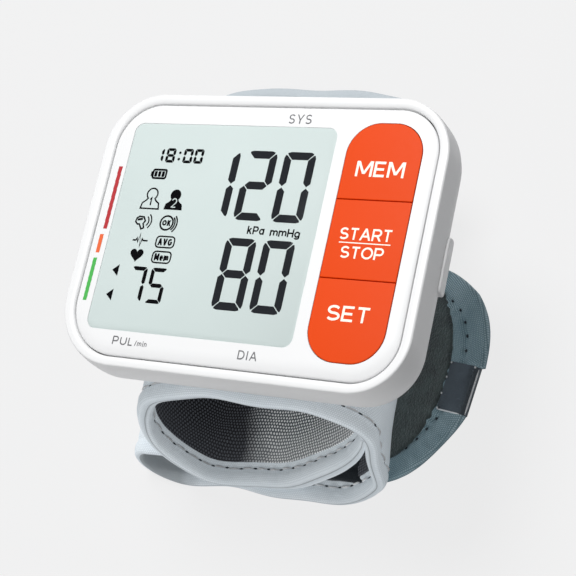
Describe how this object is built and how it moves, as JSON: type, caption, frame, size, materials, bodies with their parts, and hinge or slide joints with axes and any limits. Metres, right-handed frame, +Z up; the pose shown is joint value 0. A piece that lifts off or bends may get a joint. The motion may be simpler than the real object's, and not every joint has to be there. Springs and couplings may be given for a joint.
{
  "type": "wrist blood pressure monitor",
  "caption": "Wrist blood pressure monitor: flat white housing with a display and a column of orange keys, on a soft air cuff whose strap wraps the wrist and ends in a metal stop clip.",
  "frame": {"origin": "middle of the footprint of the whole part, on the plane it stands on under the cuff", "axes": "+Z up out of the display face, +X to the right of the reader (keys side, free strap end), +Y away from the reader (top edge of the display)"},
  "size_m": [0.0902, 0.0892, 0.0571],
  "materials": {
    "housing_white": "white satin-gloss moulded plastic",
    "key_orange": "orange satin plastic key caps",
    "window_clear": "clear display window",
    "display_cell": "pale grey-green reflective display",
    "dark_rubber": "black rubber",
    "pale_silicone": "translucent grey silicone",
    "circuit_board": "green coated circuit board",
    "inner_black": "black moulded plastic",
    "inner_white": "white moulded plastic",
    "bare_steel": "plain steel",
    "cell_wrap": "plain blue printed cell wrap",
    "cuff_cloth": "pale blue-grey laminated nylon",
    "cuff_mesh": "grey open mesh lining",
    "strap_weave": "slate woven nylon",
    "tail_pile": "dark brushed loop pile",
    "clip_metal": "dark polished folded metal"
  },
  "bodies": {
    "housing": {"front_cover": "housing_white", "rear_cover": "housing_white", "door_pin": "bare_steel", "case_screw_1": "bare_steel", "case_screw_2": "bare_steel", "case_screw_3": "bare_steel", "case_screw_4": "bare_steel", "face_panel": "housing_white", "display_window": "window_clear", "display_glass": "display_cell", "display_frame": "inner_black", "display_connector_1": "dark_rubber", "display_connector_2": "dark_rubber", "main_board": "circuit_board", "controller_chip": "inner_black", "pressure_sensor": "inner_black", "buzzer": "inner_black", "key_mat": "pale_silicone", "battery_1": "cell_wrap", "battery_2": "cell_wrap", "battery_plate_1": "bare_steel", "battery_spring_1": "bare_steel", "battery_plate_2": "bare_steel", "battery_bridge": "bare_steel", "battery_spring_2": "bare_steel", "battery_box": "inner_white", "pump_motor": "bare_steel", "air_pump": "inner_black", "exhaust_valve": "bare_steel", "air_hose": "pale_silicone", "air_nozzle": "inner_white", "cuff_plate": "inner_black", "cuff_sleeve": "cuff_cloth", "air_bladder": "dark_rubber", "cuff_lining": "cuff_mesh", "cuff_strap": "cuff_cloth", "threaded_strap": "strap_weave"},
    "mem_key": {"key_mem": "key_orange"},
    "start_stop_key": {"key_start_stop": "key_orange"},
    "set_key": {"key_set": "key_orange"},
    "door": {"battery_door": "housing_white"},
    "strap_end": {"strap_tail": "strap_weave", "tail_fleece": "tail_pile", "end_clip": "clip_metal"}
  },
  "joints": [
    {"name": "key_mem_press", "type": "slide", "parent": "housing", "child": "mem_key", "axis": [0, 0, -1], "range_m": [0, 0.0006], "stiffness_N_per_m": 1500},
    {"name": "key_start_stop_press", "type": "slide", "parent": "housing", "child": "start_stop_key", "axis": [0, 0, -1], "range_m": [0, 0.0006], "stiffness_N_per_m": 1500},
    {"name": "key_set_press", "type": "slide", "parent": "housing", "child": "set_key", "axis": [0, 0, -1], "range_m": [0, 0.0006], "stiffness_N_per_m": 1500},
    {"name": "battery_door_hinge", "type": "hinge", "parent": "housing", "child": "door", "pos_m": [0.02082, 0.00108, 0.0384], "axis": [0, 1, 0], "range_deg": [0, 50]},
    {"name": "strap_end_flex", "type": "hinge", "parent": "housing", "child": "strap_end", "pos_m": [0.02142, -0.01112, 0.00657], "axis": [0, 1, 0], "range_deg": [-15, 12]}
  ]
}
